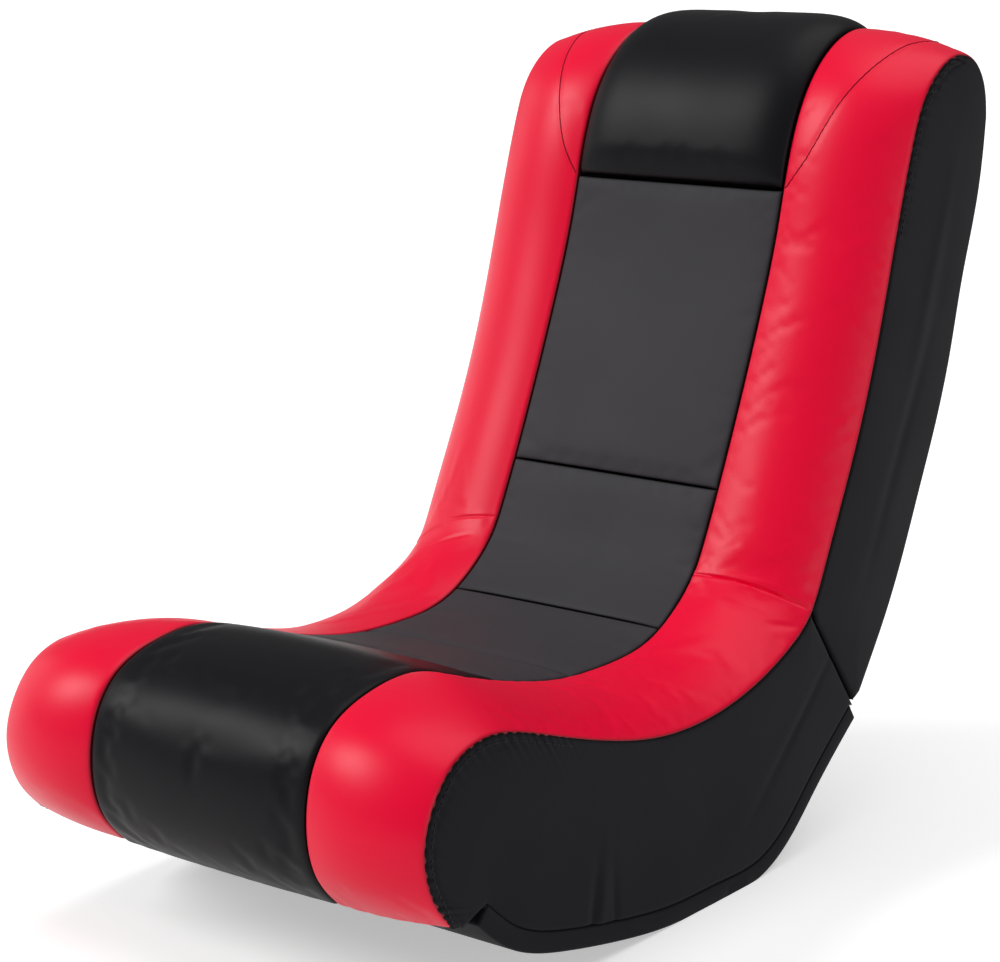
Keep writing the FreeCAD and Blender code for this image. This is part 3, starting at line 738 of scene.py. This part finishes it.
def left_of(line, places):
    """Unit vectors square to a line of (y, z) points, to its left. Its points stand at the given places
    along it."""
    run = np.gradient(line, places, axis=0)
    run /= np.linalg.norm(run, axis=1, keepdims=True)
    return np.stack([-run[:, 1], run[:, 0]], axis=1)


def patch(top, bottom, first, last, shares):
    """A sheet spanned by four edges: the blend of top and bottom, plus the blend of first and last, minus
    the blend of the four corners. Top and bottom have one point a row, and first and last are read at the
    column shares."""
    along = np.linspace(0, 1, len(top))[:, None, None]
    over = shares[None, :, None]
    ends = [np.stack([np.interp(shares, np.linspace(0, 1, len(edge)), edge[:, axis])
                      for axis in (0, 1)], axis=1)
            for edge in (first, last)]
    across = (1 - over) * top[:, None] + over * bottom[:, None]
    lengthwise = (1 - along) * ends[0][None] + along * ends[1][None]
    corners = ((1 - along) * ((1 - over) * top[0] + over * bottom[0])
               + along * ((1 - over) * top[-1] + over * bottom[-1]))
    return across + lengthwise - corners


def to_outline(points, outline):
    """Distance from each (y, z) point to a line of points, by the nearest spot on each straight step."""
    start, run = outline[:-1], np.diff(outline, axis=0)
    flat = points.reshape(-1, 1, 2)
    share = np.clip(((flat - start) * run).sum(axis=-1) / np.maximum((run**2).sum(axis=-1), 1e-9), 0, 1)
    distance = np.linalg.norm(flat - start - share[..., None] * run, axis=-1)
    return distance.min(axis=1).reshape(points.shape[:-1])


# Stitches: the row's distance below the seam, their pitch, and each one's rise as (along, out) points, then
# the panel's nominal depth, in mm
STITCH_ROW = 6.5
STITCH_PITCH = 5.2
STITCH_RISE = [(0.0, -0.3), (0.8, 0.45), (2.6, 0.45), (3.4, -0.3)]
PANEL_DEPTH = 150.0


def side_panel(name, body, top, bottom, first, last, gathered, wrinkles, nodes):
    """A thin pad on an outline in the side view. Its face is x = side + 1.6 * (1 - exp(-d / 30)) with d the
    distance to the outline, rolled under at the edge. Gathers are ripples 9 to 13 mm apart that die out as
    exp(-d / 7) below the seam, and only where `gathered` gives them a height."""
    shares = crowded(PANEL_DEPTH, 3.6) / PANEL_DEPTH
    flat = patch(top, bottom, first, last, shares)
    outline = np.concatenate([top, last[1:], bottom[::-1][1:], first[::-1][1:]])
    distance = to_outline(flat, even(outline, 420))
    below = to_outline(flat, top)
    length = walked(top)[:, None]
    ripple = (np.cos(2 * math.pi * length / 9.5 + 1.3 * np.sin(length / 23.0))
              + 0.6 * np.cos(2 * math.pi * length / 13.1))
    height = gathered(length) * np.exp(-below / 7.0) * np.clip(below / 1.5, 0, 1) * ripple
    line = gathered(length) * 0.9 * np.exp(-((below - 8.0) / 1.1) ** 2)
    out = 1.6 * (1 - np.exp(-distance / 30.0)) - rolled_under(distance, radius=3.5, drop=2.6) + height - line
    for (y, z), (lean, reach, depth, breadth) in wrinkles:
        sideways = (flat[..., 0] - y) - lean * (flat[..., 1] - z)
        out += depth * np.exp(-(sideways / breadth) ** 2 - ((flat[..., 1] - z) / reach) ** 2)
    face = np.concatenate([SIDE + out[..., None], flat], axis=-1)
    back = np.concatenate([np.full(flat.shape[:2] + (1,), CHEEK + 1.2), flat], axis=-1)[:, ::-1][:, ::6]
    # Dirt and painted shade along the panel's rolled edge, and full painted shade on its hidden back
    shade = np.concatenate([0.8 * np.exp(-(distance / 1.4) ** 2), np.ones(back.shape[:2])], axis=1)
    sewn_line = np.stack([[np.interp(STITCH_ROW, below[row, :12], face[row, :12, axis]) for axis in range(3)]
                          for row in range(len(top)) if gathered(length[row, 0]) > 0.3])
    stitch_length = walked(sewn_line)
    stitches = []
    for begin in np.arange(4.0, stitch_length[-1] - 6.0, STITCH_PITCH):
        reached = [begin + along for along, _ in STITCH_RISE]
        spot = np.stack([np.interp(reached, stitch_length, sewn_line[:, axis]) for axis in range(3)], axis=1)
        spot[:, 0] += [out_by for _, out_by in STITCH_RISE]
        stitches.append(spot)
    for side, hand in ((1, "right"), (-1, "left")):
        row_of_stitches = threads(f"{name}_stitches_{hand}", [spot * (side, 1, 1) for spot in stitches],
                                  radius=0.4, finish=black_thread)
        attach(row_of_stitches, body)
        loop = np.concatenate([face, back], axis=1) * (side, 1, 1)
        piece = closed_skin(f"{name}_{hand}", loop, black_vinyl, shade)
        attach(piece, body)
        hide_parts(*[f"{node}_{hand}" for node in nodes])


def swell(length, low, high, height, ease=25.0):
    """A height between two lengths that eases in and out."""
    return height * np.clip((length - low) / ease, 0, 1) * np.clip((high - length) / ease, 0, 1)


# Least height of the gathers along the whole seam, in mm
LEAST_GATHER = 0.06

# The seat's panels run from below the front roll, on top of the rocker's band, to the split
SPLIT_GAP = 2.0
UNDER_ROLL = [(-306, 84), (-290, 90)]
SEAT_CORNER = (236.0, 113.0)
rocker_line = rocker_curve(np.linspace(0, rocker_length, 240))
band_top = rocker_line + left_of(rocker_line, np.arange(len(rocker_line))) * ROCKER_DEPTH
seat_top = side_seam(np.linspace(FRONT, CREASE, 400))
seat_top = even(np.concatenate([seat_top, [FOLD_AXIS - to_back * SPLIT_GAP / 2]]), 330)
seat_bottom = even(np.concatenate([UNDER_ROLL, band_top, [SEAT_CORNER]]), 330)
# Soft wrinkles: (y, z) of the middle, then lean, reach, height and breadth
SEAT_WRINKLES = [
    ((-150, 46), (0.10, 34.0, -1.2, 4.0)),
    ((-138, 52), (0.05, 30.0, 0.8, 6.0)),
    ((-122, 42), (-0.08, 28.0, -0.9, 3.5)),
    ((140, 120), (1.1, 55.0, -0.9, 7.0)),
]
side_panel("seat_side", "seat", seat_top, seat_bottom, even([seat_top[0], seat_bottom[0]], 8),
           even([seat_top[-1], seat_bottom[-1]], 40),
           lambda length: swell(length, -20, 300, 0.9, 60.0) + LEAST_GATHER, SEAT_WRINKLES,
           ("seat_side_foam", "seat_side_cover"))

# The backrest's panels run from the split up to the top corner, where the seam turns down to the rear
TOP_CORNER = mark_at((385, 663), side_seam)
BACK_CORNER = (236.0, 118.0)
BACK_WRINKLES = [
    ((300, 330), (0.5, 90.0, -0.8, 9.0)),
    ((350, 480), (0.35, 80.0, 0.7, 10.0)),
]
back_top = side_seam(np.linspace(CREASE + 4, TOP_CORNER, 400))
back_top = even(np.concatenate([[FOLD_AXIS + to_back * SPLIT_GAP / 2], back_top]), 300)
back_bottom = even(np.concatenate([[BACK_CORNER], rear_curve(np.linspace(rear_length, 0, 300))]), 300)
side_panel("back_side", "backrest", back_top, back_bottom, even([back_top[0], back_bottom[0]], 40),
           even(side_seam(np.linspace(TOP_CORNER, REAR, 60)), 40),
           lambda length: swell(length, 330, 700, 0.7) + LEAST_GATHER, BACK_WRINKLES,
           ("back_side_foam", "back_side_cover"))

# Rocker: a bent plywood runner as wide as the chair, wrapped in black vinyl that is pulled tight and
# stapled on top. It starts with a square end below the front roll and ends at the split behind the seat.


def rounded_box(half_width, height, radius, steps=4):
    """A rectangle with rounded corners, as (x, height) points once round it, anticlockwise from its lower
    left."""
    turns = np.linspace(0, math.pi / 2, steps + 1)
    inner = half_width - radius
    corners = [(inner, radius, -math.pi / 2), (inner, height - radius, 0.0),
               (-inner, height - radius, math.pi / 2), (-inner, radius, math.pi)]
    arcs = [np.stack([x + radius * np.cos(turns + start), y + radius * np.sin(turns + start)], axis=1)
            for x, y, start in corners]
    flat = np.linspace(-1, 1, 24)[1:-1, None] * inner
    under = np.concatenate([flat, np.zeros_like(flat)], axis=1)
    over = np.concatenate([-flat, np.full_like(flat, height)], axis=1)
    return np.concatenate([under, arcs[0], arcs[1], over, arcs[2], arcs[3]])


# The band stands this much above the board it wraps, so that no bare edge shows along the top, in mm
BAND_OVER = 0.8
profile = rounded_box(SIDE, ROCKER_DEPTH + BAND_OVER, radius=2.2)
places = crowded(rocker_length, 6.0)
spine = rocker_curve(places)
normal = left_of(spine, places)
shrink = rolled_under(np.minimum(places, rocker_length - places), radius=2.0, drop=2.0)
middle = ROCKER_DEPTH / 2
height = middle + (profile[None, :, 1] - middle) * (1 - shrink[:, None] / middle)
band = np.empty((len(places), len(profile), 3))
band[..., 0] = profile[None, :, 0] * (1 - shrink[:, None] / SIDE)
band[..., 1:] = spine[:, None] + normal[:, None] * height[..., None]
band[..., 2] = np.maximum(band[..., 2], 0)
rocker = closed_skin("rocker_band", band, black_vinyl, np.zeros(band.shape[:2]))
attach(rocker, "seat")
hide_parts("rocker_cover")

# Rear panel: one length of black vinyl with a thin wadding, sewn between the side panels down the back. It
# spans the open back of the frame and lies a little slack.
REAR_DEPTH = 4.0
rear_rows = crowded(rear_length, 5.0)
spine = rear_curve(rear_rows)
normal = left_of(spine, rear_rows)
across = crowded(2 * CHEEK, 7.0) - CHEEK
edge_columns = CHEEK - np.abs(across)
edge_rows = np.minimum(rear_rows, rear_length - rear_rows)
slack = (0.5 * np.sin(rear_rows[:, None] / 41 + 1.4 * np.sin(across[None] / 90))
         * np.sin(across[None] / 57 + 0.6) * np.clip(edge_columns[None] / 60, 0, 1))
full = 3.0 * (1 - np.exp(-edge_columns[None] / 45)) * (1 - np.exp(-edge_rows[:, None] / 30)) + slack
sink = (rolled_under(edge_columns[None], radius=4.0, drop=2.0)
        + rolled_under(edge_rows[:, None], radius=5.0, drop=2.5))
outer = np.empty((len(rear_rows), len(across), 3))
outer[..., 0] = across
outer[..., 1:] = spine[:, None] + normal[:, None] * (full - sink)[..., None]
inner = np.empty((len(rear_rows), 6, 3))
inner[..., 0] = np.linspace(CHEEK - 1, 1 - CHEEK, 6)
inner[..., 1:] = (spine - normal * REAR_DEPTH)[:, None]
# Dirt and painted shade along the panel's edges, and full painted shade on its hidden inner face
shade = np.concatenate([shade_of(edge_rows[:, None], edge_columns[None]), np.ones(inner.shape[:2])], axis=1)
rear = closed_skin("rear_panel", np.concatenate([outer, inner], axis=1), black_vinyl, shade)
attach(rear, "backrest")
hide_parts("back_rear_foam", "back_rear_cover")

# Linings: sheets of black non-woven cloth over the open ends of seat and back at the split, stretched and
# stapled to the wooden cheeks.
FIBRE = 1.6
bonded_cloth, tree = new_material("black_nonwoven_cloth")
place = add_node(tree, "ShaderNodeTexCoord")
fibres = add_node(tree, "ShaderNodeTexNoise",
                  {"Vector": place.outputs["Object"], "Scale": 1000 / FIBRE, "Detail": 5.0})
bump = add_node(tree, "ShaderNodeBump",
                {"Height": fibres.outputs["Fac"], "Strength": 0.5, "Distance": 0.2 * MM})
colour = add_node(tree, "ShaderNodeMix",
                  {"Factor": fibres.outputs["Fac"], 6: linear("#111113"), 7: linear("#232326")},
                  data_type="RGBA")
shader = add_node(tree, "ShaderNodeBsdfPrincipled",
                  {"Base Color": colour.outputs[2], "Roughness": 0.9, "Sheen Weight": 0.2,
                   "Normal": bump.outputs[0]})
add_node(tree, "ShaderNodeOutputMaterial", {"Surface": shader.outputs[0]})


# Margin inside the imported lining's room, half the thickness, and the sag, in mm
LINING_INSET = 0.6
LINING_HALF = 0.5
LINING_SAG = 0.25


def lining(name, body, node):
    """A thin sheet in the place of a packed lining: spanned over that box's slope, with a shallow sag of
    sin * sin over its width and height."""
    low, high = (np.array(corner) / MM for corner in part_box(node))
    along = np.linspace(0, 1, 24)[:, None]
    over = np.linspace(0, 1, 60)[None, :]
    sag = LINING_SAG * np.sin(math.pi * along) * np.sin(3 * math.pi * over)
    first = low + LINING_INSET
    size = high - low - 2 * LINING_INSET
    sheets = []
    for layer in (LINING_HALF, -LINING_HALF):
        sheet = np.empty((24, 60, 3))
        sheet[..., 0] = first[0] + size[0] * over
        sheet[..., 1] = first[1] + size[1] * along + to_back[0] * (layer + sag)
        sheet[..., 2] = high[2] - LINING_INSET - size[2] * along + to_back[1] * (layer + sag)
        sheets.append(sheet)
    piece = closed_skin(name, np.concatenate([sheets[0], sheets[1][:, ::-1]], axis=1), bonded_cloth)
    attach(piece, body)
    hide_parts(node)


lining("seat_lining", "seat", "seat_rear_lining")
lining("back_lining", "backrest", "back_bottom_lining")
